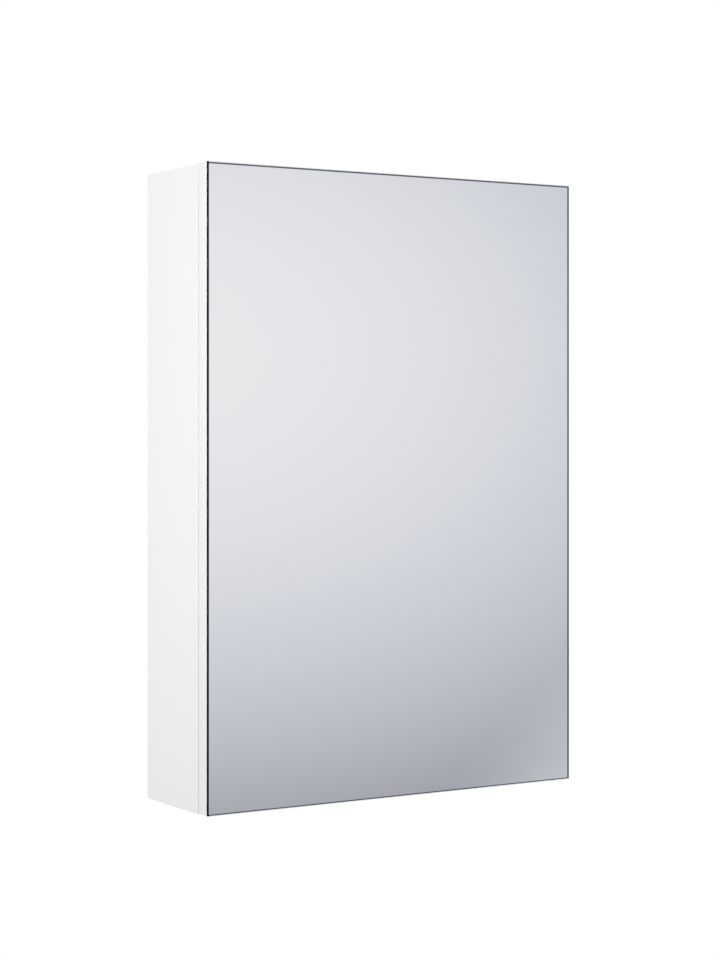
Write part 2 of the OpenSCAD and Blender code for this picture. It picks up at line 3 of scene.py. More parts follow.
import bmesh
import bpy
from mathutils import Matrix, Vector


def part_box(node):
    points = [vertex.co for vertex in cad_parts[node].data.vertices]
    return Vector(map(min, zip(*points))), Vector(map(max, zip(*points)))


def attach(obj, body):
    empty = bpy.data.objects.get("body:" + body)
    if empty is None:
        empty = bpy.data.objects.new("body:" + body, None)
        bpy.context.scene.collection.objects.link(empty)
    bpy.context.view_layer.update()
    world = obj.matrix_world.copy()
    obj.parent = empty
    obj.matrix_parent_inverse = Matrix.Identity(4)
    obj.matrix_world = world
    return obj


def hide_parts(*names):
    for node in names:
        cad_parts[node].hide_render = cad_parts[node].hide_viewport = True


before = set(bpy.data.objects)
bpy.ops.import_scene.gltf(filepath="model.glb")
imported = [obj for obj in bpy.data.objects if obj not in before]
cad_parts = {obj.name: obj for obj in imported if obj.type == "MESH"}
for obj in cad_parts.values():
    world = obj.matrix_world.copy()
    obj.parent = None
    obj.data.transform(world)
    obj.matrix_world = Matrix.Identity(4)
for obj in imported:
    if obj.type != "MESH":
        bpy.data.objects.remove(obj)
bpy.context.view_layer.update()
scene = bpy.context.scene
scene.view_settings.view_transform = "Standard"
mm = 0.001
mergeReach = 0.002 * mm   # corners closer than this become one
noiseRange = (0.3, 0.7)   # where most values of a noise texture lie
print("frame loaded")


# A node in a tree. Inputs are given by name or number, as a value or as the socket that feeds them.
def addNode(tree, kind, inputs=None, **settings):
    node = tree.nodes.new(kind)
    for name, value in settings.items():
        setattr(node, name, value)
    for key, value in (inputs or {}).items():
        if isinstance(value, bpy.types.NodeSocket):
            tree.links.new(value, node.inputs[key])
        else:
            node.inputs[key].default_value = value
    return node


def calc(tree, operation, first, second=0.0, third=0.0):
    values = {0: first, 1: second, 2: third}
    return addNode(tree, "ShaderNodeMath", values, operation=operation).outputs[0]


def vectorCalc(tree, operation, first, second):
    return addNode(tree, "ShaderNodeVectorMath", {0: first, 1: second}, operation=operation).outputs


def split(tree, vector):
    return addNode(tree, "ShaderNodeSeparateXYZ", {0: vector}).outputs


def remap(tree, value, fromLow, fromHigh, toLow=0.0, toHigh=1.0, smooth=False):
    values = {0: value, 1: fromLow, 2: fromHigh, 3: toLow, 4: toHigh}
    kind = "SMOOTHSTEP" if smooth else "LINEAR"
    return addNode(tree, "ShaderNodeMapRange", values, interpolation_type=kind).outputs[0]


def blendColour(tree, factor, first, second):
    values = {0: factor, 6: first, 7: second}
    return addNode(tree, "ShaderNodeMix", values, data_type="RGBA").outputs[2]


def noise(tree, vector, scale, detail=3.0, roughness=0.5):
    values = {"Vector": vector, "Scale": scale, "Detail": detail, "Roughness": roughness}
    return addNode(tree, "ShaderNodeTexNoise", values).outputs[0]


def stretched(tree, vector, factors):
    return vectorCalc(tree, "MULTIPLY", vector, factors)[0]


def rgb(red, green, blue):
    return (red, green, blue, 1.0)


# A node group with its named sockets, which are given as name: (kind, default)
def newGroup(name, kind, inputs, outputs):
    tree = bpy.data.node_groups.new(name, kind)
    for label, (socketKind, value) in inputs.items():
        socketType = "NodeSocket" + socketKind
        socket = tree.interface.new_socket(label, in_out="INPUT", socket_type=socketType)
        if value is not None:
            socket.default_value = value
    for label, socketKind in outputs.items():
        tree.interface.new_socket(label, in_out="OUTPUT", socket_type="NodeSocket" + socketKind)
    return tree, tree.nodes.new("NodeGroupInput").outputs, tree.nodes.new("NodeGroupOutput").inputs


def placeGroup(tree, group, inputs):
    return addNode(tree, "ShaderNodeGroup", inputs, node_tree=group).outputs


# Fine grain for bumps and gloss, with slow clouds for colour
def makeGrainGroup():
    tree, given, result = newGroup("surfaceGrain", "ShaderNodeTree", {
        "Vector": ("Vector", None), "Grain Scale": ("Float", 600.0), "Cloud Scale": ("Float", 6.0),
    }, {"Grain": "Float", "Cloud": "Float"})
    grain = noise(tree, given["Vector"], given["Grain Scale"], detail=2.0, roughness=0.55)
    cloud = noise(tree, given["Vector"], given["Cloud Scale"])
    tree.links.new(grain, result["Grain"])
    tree.links.new(cloud, result["Cloud"])
    return tree


chipLook = {
    "brown": rgb(0.34, 0.21, 0.11),
    "pale": rgb(0.62, 0.46, 0.29),
    "gap": rgb(0.20, 0.12, 0.06),
    "gapRange": (0.45, 0.75),     # distance from the middle of a chip
    "squash": (1.0, 0.55, 0.7),
}


# Pressed wood chips, as they show where a coated board is cut or drilled
def makeChipGroup():
    look = chipLook
    tree, given, result = newGroup("chipboardCore", "ShaderNodeTree", {
        "Vector": ("Vector", None), "Chip Scale": ("Float", 420.0),
    }, {"Color": "Color", "Height": "Float"})
    chips = addNode(tree, "ShaderNodeTexVoronoi", {
        "Vector": stretched(tree, given["Vector"], look["squash"]), "Scale": given["Chip Scale"],
    })
    tone = addNode(tree, "ShaderNodeSeparateColor", {0: chips.outputs["Color"]}).outputs[0]
    wood = blendColour(tree, tone, look["brown"], look["pale"])
    gaps = remap(tree, chips.outputs["Distance"], *look["gapRange"])
    tree.links.new(blendColour(tree, gaps, wood, look["gap"]), result["Color"])
    tree.links.new(calc(tree, "SUBTRACT", tone, gaps), result["Height"])
    return tree


coatingDepth = 0.25 * mm


# 1 inside the thickness of a board, 0 on its two coated faces
def makeCoreGroup():
    tree, given, result = newGroup("boardCore", "ShaderNodeTree", {
        "Vector": ("Vector", None), "Axis": ("Vector", (1.0, 0.0, 0.0)),
        "Low": ("Float", 0.0), "High": ("Float", 0.016),
    }, {"Core": "Float"})
    along = vectorCalc(tree, "DOT_PRODUCT", given["Vector"], given["Axis"])["Value"]
    depth = calc(tree, "ABSOLUTE", along)
    coreLow = calc(tree, "ADD", given["Low"], coatingDepth)
    coreHigh = calc(tree, "SUBTRACT", given["High"], coatingDepth)
    aboveLow = calc(tree, "GREATER_THAN", depth, coreLow)
    belowHigh = calc(tree, "LESS_THAN", depth, coreHigh)
    tree.links.new(calc(tree, "MULTIPLY", aboveLow, belowHigh), result["Core"])
    return tree


wearLook = {
    "edge": (0.995, 0.8),         # dot product of the rounded and the flat normal, unworn and worn
    "patchScale": 260.0,
    "patches": (0.4, 0.62),
}


# Where a sharp edge is rubbed, broken up by noise
def makeWearGroup():
    look = wearLook
    tree, given, result = newGroup("edgeWear", "ShaderNodeTree", {
        "Vector": ("Vector", None), "Radius": ("Float", 0.4 * mm), "Amount": ("Float", 0.5),
    }, {"Mask": "Float", "Normal": "Vector"})
    rounded = addNode(tree, "ShaderNodeBevel", {"Radius": given["Radius"]}, samples=6).outputs[0]
    flat = addNode(tree, "ShaderNodeNewGeometry").outputs["Normal"]
    leaning = vectorCalc(tree, "DOT_PRODUCT", rounded, flat)["Value"]
    edge = remap(tree, leaning, *look["edge"])
    patches = noise(tree, given["Vector"], look["patchScale"], detail=4.0)
    rubbed = calc(tree, "MULTIPLY", edge, remap(tree, patches, *look["patches"]))
    tree.links.new(calc(tree, "MULTIPLY", rubbed, given["Amount"]), result["Mask"])
    tree.links.new(rounded, result["Normal"])
    return tree


dustLook = {
    "facingUp": (0.75, 1.0),
    "patchScale": 38.0,
    "patches": (0.35, 0.7),
}


# Light dust that lies on what faces up
def makeDustGroup():
    look = dustLook
    tree, given, result = newGroup("lyingDust", "ShaderNodeTree", {
        "Vector": ("Vector", None), "Amount": ("Float", 0.2),
    }, {"Mask": "Float"})
    up = split(tree, addNode(tree, "ShaderNodeNewGeometry").outputs["Normal"])[2]
    cloud = noise(tree, given["Vector"], look["patchScale"], detail=5.0, roughness=0.6)
    patches = remap(tree, cloud, *look["patches"])
    lying = calc(tree, "MULTIPLY", remap(tree, up, *look["facingUp"]), patches)
    tree.links.new(calc(tree, "MULTIPLY", lying, given["Amount"]), result["Mask"])
    return tree


grainGroup = makeGrainGroup()
chipGroup = makeChipGroup()
coreGroup = makeCoreGroup()
wearGroup = makeWearGroup()
dustGroup = makeDustGroup()
print("shared shader groups made")


# A material with its tree, its Principled shader and its Object coordinates
def newMaterial(name, **fixed):
    material = bpy.data.materials.new(name)
    material.use_nodes = True
    tree = material.node_tree
    shader = tree.nodes["Principled BSDF"]
    for label, value in fixed.items():
        shader.inputs[label.replace("_", " ")].default_value = value
    return material, tree, shader, addNode(tree, "ShaderNodeTexCoord").outputs["Object"]


def placeGrain(tree, vector, look):
    return placeGroup(tree, grainGroup, {
        "Vector": vector, "Grain Scale": look["grainScale"], "Cloud Scale": look["cloudScale"],
    })


def bump(tree, shader, height, distance, strength=1.0, normal=None):
    values = {"Height": height, "Distance": distance, "Strength": strength}
    if normal is not None:
        values["Normal"] = normal
    tree.links.new(addNode(tree, "ShaderNodeBump", values).outputs[0], shader.inputs["Normal"])


melamineLook = {
    "white": rgb(0.885, 0.885, 0.872),
    "cooler": rgb(0.868, 0.871, 0.868),
    "dust": rgb(0.70, 0.69, 0.66),
    "dustAmount": 0.10,
    "gloss": (0.40, 0.48),
    "grainScale": 820.0,
    "cloudScale": 5.0,
    "grainDepth": 0.012 * mm,
    "chipScale": 430.0,
    "chipRelief": 14.0,           # times the depth of the grain
    "chipRoughness": 0.9,
    "bandDepth": 0.1 * mm,        # a side panel shows no chips this near to its banded ends
}


# White coated chipboard. Its two faces lie at the depths low and high along the axis.
def makeMelamine(name, axis, low, high, bandedEnd=None):
    look = melamineLook
    material, tree, shader, place = newMaterial(name)
    grain = placeGrain(tree, place, look)
    boardInputs = {"Vector": place, "Axis": axis, "Low": low, "High": high}
    core = placeGroup(tree, coreGroup, boardInputs)["Core"]
    if bandedEnd:
        height = calc(tree, "ABSOLUTE", split(tree, place)[2])
        bare = calc(tree, "LESS_THAN", height, bandedEnd - look["bandDepth"])
        core = calc(tree, "MULTIPLY", core, bare)
    chips = placeGroup(tree, chipGroup, {"Vector": place, "Chip Scale": look["chipScale"]})
    dust = placeGroup(tree, dustGroup, {"Vector": place, "Amount": look["dustAmount"]})["Mask"]
    white = blendColour(tree, grain["Cloud"], look["white"], look["cooler"])
    coated = blendColour(tree, dust, white, look["dust"])
    tree.links.new(blendColour(tree, core, coated, chips["Color"]), shader.inputs["Base Color"])
    gloss = remap(tree, grain["Grain"], *noiseRange, *look["gloss"])
    roughness = remap(tree, core, 0.0, 1.0, gloss, look["chipRoughness"])
    tree.links.new(roughness, shader.inputs["Roughness"])
    chipHeight = calc(tree, "MULTIPLY", core, chips["Height"])
    relief = calc(tree, "MULTIPLY_ADD", chipHeight, look["chipRelief"], grain["Grain"])
    bump(tree, shader, relief, look["grainDepth"])
    return material


plasticLooks = {
    "whiteEdging": {
        "plain": rgb(0.880, 0.880, 0.868), "shade": rgb(0.862, 0.863, 0.855), "gloss": (0.30, 0.38),
        "grainScale": 1100.0, "cloudScale": 24.0, "glossFrom": "Cloud", "grainDepth": 0.006 * mm,
    },
    "whitePlastic": {
        "plain": rgb(0.86, 0.86, 0.845), "shade": rgb(0.82, 0.82, 0.81), "gloss": (0.30, 0.42),
        "grainScale": 1500.0, "cloudScale": 70.0, "glossFrom": "Grain", "grainDepth": 0.008 * mm,
    },
    "clearPlastic": {
        "plain": rgb(0.93, 0.95, 0.95), "shade": rgb(0.88, 0.90, 0.90), "gloss": (0.12, 0.26),
        "grainScale": 900.0, "cloudScale": 90.0, "glossFrom": "Grain", "grainDepth": None,
    },
}


def makePlastic(name, **fixed):
    look = plasticLooks[name]
    material, tree, shader, place = newMaterial(name, **fixed)
    grain = placeGrain(tree, place, look)
    colour = blendColour(tree, grain["Cloud"], look["plain"], look["shade"])
    tree.links.new(colour, shader.inputs["Base Color"])
    gloss = remap(tree, grain[look["glossFrom"]], *noiseRange, *look["gloss"])
    tree.links.new(gloss, shader.inputs["Roughness"])
    if look["grainDepth"]:
        bump(tree, shader, grain["Grain"], look["grainDepth"])
    return material


hardboardLook = {
    "paint": rgb(0.87, 0.87, 0.855),
    "paintShade": rgb(0.845, 0.845, 0.835),
    "paintDepth": 0.4 * mm,
    "darkFibre": rgb(0.19, 0.105, 0.055),
    "paleFibre": rgb(0.34, 0.20, 0.11),
    "stain": rgb(0.27, 0.155, 0.08),
    "stainShare": 0.5,
    "fibreScale": 420.0,
    "fibreSquash": (1.0, 1.0, 2.4),
    "fibreDepth": 0.03 * mm,
    "cloudScale": 16.0,
    "roughness": (0.85, 0.5),     # bare and painted
}


# Thin hardboard, painted white on the side that faces into the cabinet and bare behind
def makeHardboard():
    look = hardboardLook
    material, tree, shader, place = newMaterial("paintedHardboard")
    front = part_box("back_panel")[0][1]
    painted = calc(tree, "LESS_THAN", split(tree, place)[1], front + look["paintDepth"])
    squashed = stretched(tree, place, look["fibreSquash"])
    fibre = noise(tree, squashed, look["fibreScale"], detail=6.0, roughness=0.65)
    cloud = noise(tree, place, look["cloudScale"], detail=4.0)
    fibres = remap(tree, fibre, *noiseRange)
    brown = blendColour(tree, fibres, look["darkFibre"], look["paleFibre"])
    stained = remap(tree, cloud, *noiseRange, 0.0, look["stainShare"])
    bare = blendColour(tree, stained, brown, look["stain"])
    white = blendColour(tree, cloud, look["paint"], look["paintShade"])
    tree.links.new(blendColour(tree, painted, bare, white), shader.inputs["Base Color"])
    roughness = remap(tree, painted, 0.0, 1.0, *look["roughness"])
    tree.links.new(roughness, shader.inputs["Roughness"])
    bump(tree, shader, fibre, look["fibreDepth"], strength=0.6)
    return material


mirrorLook = {
    "silver": rgb(0.912, 0.918, 0.915),
    # the ground edges' own dark colour, also used as painted shade on the left arris
    "darkEdgeAndArrisShade": rgb(0.006, 0.008, 0.008),
    "backPaint": rgb(0.10, 0.12, 0.13),
    "smear": rgb(0.80, 0.81, 0.81),
    # painted reflection of the dark ground edge, as it shows through the glass
    "line": rgb(0.16, 0.163, 0.17),
    "arrisTint": rgb(0.80, 0.84, 0.90),
    "arris": 0.8 * mm,
    # painted shade across this much of the left arris
    "leftArrisShade": 0.6 * mm,
    # how far in from its rim the painted reflection of the dark edge reaches, as it shows through the
    # glass
    "rightEdgeReflection": 3.1 * mm,
    "topEdgeReflection": 2.6 * mm,
    "bottomEdgeReflection": 2.0 * mm,
    "skin": 0.03 * mm,            # what lies this near an outer face belongs to it
    "speckScale": 900.0,
    "specks": (0.74, 0.80),
    "speckHaze": 0.10,
    "smearScale": 9.0,
    "smearSquash": (1.0, 1.0, 0.35),
    "smears": (0.62, 0.9),
    "smearHaze": 0.02,
    "roughness": 0.012,
    "hazeRoughness": 0.3,
    "paintRoughness": 0.6,
}


# The place from the middle of a CAD node's box, split in three, and half the size of the box
def fromMiddle(tree, place, nodeName):
    low, high = (Vector(corner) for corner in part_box(nodeName))
    middle = vectorCalc(tree, "SUBTRACT", place, (low + high) / 2)[0]
    return split(tree, middle), (high - low) / 2


# Silvered glass with a polished arris and dark ground edges, which show through it as a painted
# reflection: a dark line inside the rim, widest at the right. Painted shade covers the left arris.
def makeMirror():
    look = mirrorLook
    material, tree, shader, place = newMaterial("silveredGlass", Specular_IOR_Level=0.0)
    (across, depth, height), half = fromMiddle(tree, place, "mirror_glass")
    fromLeft = calc(tree, "ADD", across, half.x)
    fromRight = calc(tree, "SUBTRACT", half.x, across)
    fromTop = calc(tree, "SUBTRACT", half.z, height)
    fromBottom = calc(tree, "ADD", half.z, height)
    fromSide = calc(tree, "MINIMUM", fromLeft, fromRight)
    fromEnd = calc(tree, "MINIMUM", fromTop, fromBottom)
    onRim = calc(tree, "LESS_THAN", calc(tree, "MINIMUM", fromSide, fromEnd), look["skin"])
    shadedLeftArris = calc(tree, "LESS_THAN", fromLeft, look["leftArrisShade"])
    # the dark ground edges all round, together with painted shade on the left arris
    edge = calc(tree, "MAXIMUM", onRim, shadedLeftArris)
    back = calc(tree, "GREATER_THAN", depth, half.y - look["skin"])
    arris = calc(tree, "LESS_THAN", fromEnd, look["arris"])
    # painted reflection of the dark ground edges: a line inside the rim, widest at the right and absent
    # at the left
    line = calc(tree, "LESS_THAN", fromRight, look["rightEdgeReflection"])
    for distance, reach in ((fromTop, look["topEdgeReflection"]), (fromBottom, look["bottomEdgeReflection"])):
        line = calc(tree, "MAXIMUM", line, calc(tree, "LESS_THAN", distance, reach))
    specks = remap(tree, noise(tree, place, look["speckScale"], detail=2.0), *look["specks"])
    squashed = stretched(tree, place, look["smearSquash"])
    cloud = noise(tree, squashed, look["smearScale"], detail=5.0, roughness=0.62)
    speckHaze = calc(tree, "MULTIPLY", specks, look["speckHaze"])
    smearHaze = calc(tree, "MULTIPLY", remap(tree, cloud, *look["smears"]), look["smearHaze"])
    haze = calc(tree, "ADD", speckHaze, smearHaze)
    front = blendColour(tree, haze, look["silver"], look["smear"])
    withEdgeReflection = blendColour(tree, line, front, look["line"])
    withArris = blendColour(tree, arris, withEdgeReflection, look["arrisTint"])
    withEdge = blendColour(tree, edge, withArris, look["darkEdgeAndArrisShade"])
    colour = blendColour(tree, back, withEdge, look["backPaint"])
    tree.links.new(colour, shader.inputs["Base Color"])
    solid = calc(tree, "MAXIMUM", calc(tree, "MAXIMUM", edge, back), haze)
    tree.links.new(calc(tree, "SUBTRACT", 1.0, solid), shader.inputs["Metallic"])
    hazy = calc(tree, "MULTIPLY_ADD", haze, look["hazeRoughness"], look["roughness"])
    dull = calc(tree, "MULTIPLY", solid, look["paintRoughness"])
    tree.links.new(calc(tree, "MAXIMUM", hazy, dull), shader.inputs["Roughness"])
    return material


tapeLook = {
    "dark": rgb(0.16, 0.16, 0.17),
    "pale": rgb(0.30, 0.30, 0.31),
    "poreScale": 1500.0,
    "pores": (0.1, 0.7),
    "poreDepth": 0.08 * mm,
}


def makeFoamTape():
    look = tapeLook
    material, tree, shader, place = newMaterial("foamTape", Roughness=0.85)
    poreInputs = {"Vector": place, "Scale": look["poreScale"]}
    pores = addNode(tree, "ShaderNodeTexVoronoi", poreInputs).outputs["Distance"]
    colour = blendColour(tree, remap(tree, pores, *look["pores"]), look["dark"], look["pale"])
    tree.links.new(colour, shader.inputs["Base Color"])
    bump(tree, shader, pores, look["poreDepth"])
    return material


shelfGlassLook = {
    "clear": rgb(0.955, 0.985, 0.972),
    "greener": rgb(0.945, 0.98, 0.965),
    "edge": rgb(0.36, 0.68, 0.56),
    "edgeDepth": 0.6 * mm,
    "cloudScale": 12.0,
    "roughness": (0.01, 0.18),    # the faces and the ground edges
}


# Clear shelf glass with the green of its long way through at the edges
def makeShelfGlass():
    look = shelfGlassLook
    material, tree, shader, place = newMaterial("shelfGlass", IOR=1.5, Transmission_Weight=1.0)
    (across, depth, _), half = fromMiddle(tree, place, "glass_shelf_upper")
    fromSide = calc(tree, "SUBTRACT", half.x, calc(tree, "ABSOLUTE", across))
    fromFront = calc(tree, "SUBTRACT", half.y, calc(tree, "ABSOLUTE", depth))
    rim = calc(tree, "LESS_THAN", calc(tree, "MINIMUM", fromSide, fromFront), look["edgeDepth"])
    cloud = noise(tree, place, look["cloudScale"], detail=2.0)
    clear = blendColour(tree, cloud, look["clear"], look["greener"])
    tree.links.new(blendColour(tree, rim, clear, look["edge"]), shader.inputs["Base Color"])
    tree.links.new(remap(tree, rim, 0.0, 1.0, *look["roughness"]), shader.inputs["Roughness"])
    return material


metalLooks = {
    "nickelPlate": {
        "bright": rgb(0.74, 0.72, 0.69), "dull": rgb(0.62, 0.605, 0.58),
        "rubbed": rgb(0.82, 0.81, 0.79), "gloss": (0.17, 0.30), "brush": (1.0, 9.0, 1.0),
    },
    "zincCasting": {
        "bright": rgb(0.60, 0.61, 0.63), "dull": rgb(0.46, 0.47, 0.49),
        "rubbed": rgb(0.72, 0.73, 0.75), "gloss": (0.32, 0.48), "brush": (1.0, 1.0, 1.0),
    },
    "springSteel": {
        "bright": rgb(0.50, 0.50, 0.51), "dull": rgb(0.36, 0.36, 0.37),
        "rubbed": rgb(0.66, 0.66, 0.67), "gloss": (0.24, 0.36), "brush": (6.0, 1.0, 1.0),
    },
}
metalSurface = {
    "grainScale": 700.0,
    "cloudScale": 60.0,
    "grainDepth": 0.01 * mm,
    "grainStrength": 0.6,
    "wearRadius": 0.3 * mm,
    "wearAmount": 0.7,
    "dust": rgb(0.42, 0.41, 0.39),
    "dustAmount": 0.12,
    "dustRoughness": 0.3,
}


def makeMetal(name):
    look, surface = metalLooks[name], metalSurface
    material, tree, shader, place = newMaterial(name, Metallic=1.0)
    grain = placeGrain(tree, stretched(tree, place, look["brush"]), surface)
    wear = placeGroup(tree, wearGroup, {
        "Vector": place, "Radius": surface["wearRadius"], "Amount": surface["wearAmount"],
    })
    dust = placeGroup(tree, dustGroup, {"Vector": place, "Amount": surface["dustAmount"]})["Mask"]
    plain = blendColour(tree, grain["Cloud"], look["bright"], look["dull"])
    rubbed = blendColour(tree, wear["Mask"], plain, look["rubbed"])
    tree.links.new(blendColour(tree, dust, rubbed, surface["dust"]), shader.inputs["Base Color"])
    gloss = remap(tree, grain["Grain"], *noiseRange, *look["gloss"])
    dusty = calc(tree, "ADD", gloss, calc(tree, "MULTIPLY", dust, surface["dustRoughness"]))
    tree.links.new(dusty, shader.inputs["Roughness"])
    depth, strength = surface["grainDepth"], surface["grainStrength"]
    bump(tree, shader, grain["Grain"], depth, strength, wear["Normal"])
    return material


beechLook = {
    "pale": rgb(0.66, 0.47, 0.29),
    "brown": rgb(0.52, 0.34, 0.19),
    "fleck": rgb(0.36, 0.21, 0.11),
    "fibreScale": 1600.0,
    "fibreSquash": (0.08, 1.0, 1.0),
    "fibreDepth": 0.03 * mm,
    "fleckScale": 900.0,
    "fleckSquash": (0.25, 1.0, 1.0),
    "flecks": (0.6, 0.7),
}


# Turned beech with its grain along the dowel
def makeBeech():
    look = beechLook
    material, tree, shader, place = newMaterial("beechWood", Roughness=0.6)
    fibreVector = stretched(tree, place, look["fibreSquash"])
    fibres = noise(tree, fibreVector, look["fibreScale"], detail=4.0, roughness=0.6)
    fleckVector = stretched(tree, place, look["fleckSquash"])
    spots = noise(tree, fleckVector, look["fleckScale"], detail=2.0)
    wood = blendColour(tree, fibres, look["pale"], look["brown"])
    colour = blendColour(tree, remap(tree, spots, *look["flecks"]), wood, look["fleck"])
    tree.links.new(colour, shader.inputs["Base Color"])
    bump(tree, shader, fibres, look["fibreDepth"])
    return material


sideLow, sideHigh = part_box("side_panel_right")
topLow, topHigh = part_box("top_panel")
railLow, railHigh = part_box("upper_hanging_rail")
doorLow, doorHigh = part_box("door_board")
materials = {
    "sides": makeMelamine("whiteSides", (1.0, 0.0, 0.0), sideLow[0], sideHigh[0], sideHigh[2]),
    "ends": makeMelamine("whiteEnds", (0.0, 0.0, 1.0), topLow[2], topHigh[2]),
    "rails": makeMelamine("whiteRails", (0.0, 1.0, 0.0), -railHigh[1], -railLow[1]),
    "door": makeMelamine("whiteDoor", (0.0, 1.0, 0.0), -doorHigh[1], -doorLow[1]),
    "edging": makePlastic("whiteEdging"),
    "hardboard": makeHardboard(),
    "mirror": makeMirror(),
    "tape": makeFoamTape(),
    "glass": makeShelfGlass(),
    "nickel": makeMetal("nickelPlate"),
    "zinc": makeMetal("zincCasting"),
    "spring": makeMetal("springSteel"),
    "whitePlastic": makePlastic("whitePlastic"),
    "clearPlastic": makePlastic("clearPlastic", IOR=1.46, Transmission_Weight=0.85),
    "beech": makeBeech(),
}
print("materials made")


# The CAD solids that are shown as they are, each with its finish
dressed = {
    "side_panel_left": "sides", "side_panel_right": "sides", "top_panel": "ends", "bottom_panel": "ends",
    "upper_hanging_rail": "rails", "lower_hanging_rail": "rails", "back_panel": "hardboard",
    "door_board": "door", "mirror_tape": "tape", "mirror_glass": "mirror",
    "panel_dowels": "beech", "rail_dowels": "beech", "cam_locks": "zinc", "cam_bolts": "zinc",
    "glass_shelf_upper": "glass", "glass_shelf_lower": "glass",
    "shelf_pin_pads_upper": "clearPlastic", "shelf_pin_pads_lower": "clearPlastic",
}
hingeFinishes = {
    "plate": "zinc", "arm": "nickel", "side_screw": "zinc", "depth_screw": "zinc",
    "arm_pins": "nickel", "spring": "spring", "outer_link": "nickel", "inner_link": "nickel",
    "cup": "nickel", "cup_pins": "nickel",
}
for end in ("upper", "lower"):
    for piece, finish in hingeFinishes.items():
        dressed[f"{end}_hinge_{piece}"] = finish


def coat(obj, material):
    if not obj.material_slots:
        obj.data.materials.append(material)
    for slot in obj.material_slots:
        slot.material = material


for nodeName, finish in dressed.items():
    coat(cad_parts[nodeName], materials[finish])
print("solids dressed")


# Smooth shading with sharp edges where faces meet at more than the angle
def shadeSmooth(mesh, angle):
    mesh.polygons.foreach_set("use_smooth", [True] * len(mesh.polygons))
    mesh.set_sharp_from_angle(angle=angle)


# A finished piece: it rides on its body, and stands for its CAD nodes
def settle(obj, body, nodeNames):
    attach(obj, body)
    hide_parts(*nodeNames)
    return obj


edgingSizes = {
    "carcassRadius": 0.9 * mm,
    "doorRadius": 0.8 * mm,
    "segments": 5,
    "flat": math.radians(1),      # faces that meet at less than this are one flat face
    "sharp": math.radians(35),
    "near": 0.01 * mm,
}


# Edging with its outer corners rounded. The CAD strips are merged first, and then the edges
# that pass the test are bevelled.
def roundStrips(name, nodeName, body, radius, isOuter):
    shape = bmesh.new()
    shape.from_mesh(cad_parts[nodeName].data)
    bmesh.ops.remove_doubles(shape, verts=shape.verts, dist=mergeReach)
    flat = edgingSizes["flat"]
    bmesh.ops.dissolve_limit(shape, angle_limit=flat, verts=shape.verts, edges=shape.edges)
    outer = [e for e in shape.edges if isOuter(e.verts[0].co, e.verts[1].co)]
    bmesh.ops.bevel(
        shape, geom=outer, offset=radius, segments=edgingSizes["segments"], profile=0.5,
        affect="EDGES", clamp_overlap=True,
    )
    mesh = bpy.data.meshes.new(name)
    shape.to_mesh(mesh)
    shape.free()
    shadeSmooth(mesh, edgingSizes["sharp"])
    obj = bpy.data.objects.new(name, mesh)
    scene.collection.objects.link(obj)
    coat(obj, materials["edging"])
    return settle(obj, body, [nodeName])


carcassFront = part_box("carcass_edging")[0][1]
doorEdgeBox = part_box("door_edging")


def isNear(value, target):
    return abs(value - target) < edgingSizes["near"]


def onFront(first, second):
    return isNear(first.y, carcassFront) and isNear(second.y, carcassFront)


# On two faces of the door's box at once, and so on one of its twelve edges
def onDoorRim(first, second):
    shared = 0
    for corner in doorEdgeBox:
        for axis in range(3):
            shared += isNear(first[axis], corner[axis]) and isNear(second[axis], corner[axis])
    return shared >= 2


roundStrips("carcassEdging", "carcass_edging", "cabinet", edgingSizes["carcassRadius"], onFront)
roundStrips("doorEdging", "door_edging", "door", edgingSizes["doorRadius"], onDoorRim)
print("edging rounded")


# Geometry Nodes helpers
def vec(tree, x=0.0, y=0.0, z=0.0):
    return addNode(tree, "ShaderNodeCombineXYZ", {0: x, 1: y, 2: z}).outputs[0]


def shifted(tree, shape, place):
    return addNode(tree, "GeometryNodeTransform", {"Geometry": shape, "Translation": place}).outputs[0]


def merged(tree, shape, reach):
    inputs = {"Geometry": shape, "Distance": reach}
    return addNode(tree, "GeometryNodeMergeByDistance", inputs).outputs[0]


# Shapes made one, or for a difference, the first shape less the others
def fused(tree, shapes, operation="UNION"):
    node = addNode(tree, "GeometryNodeMeshBoolean", operation=operation, solver="EXACT")
    if operation == "DIFFERENCE":
        tree.links.new(shapes[0], node.inputs["Mesh 1"])
        shapes = shapes[1:]
    for shape in shapes:
        tree.links.new(shape, node.inputs["Mesh 2"])
    return node.outputs[0]


# A line of points drawn out to a round body, with a width at each point
def turned(tree, line, width, sides):
    ringInputs = {"Resolution": sides, "Radius": 1.0}
    ring = addNode(tree, "GeometryNodeCurvePrimitiveCircle", ringInputs).outputs[0]
    return addNode(tree, "GeometryNodeCurveToMesh", {
        "Curve": line, "Profile Curve": ring, "Scale": width, "Fill Caps": True,
    }).outputs[0]


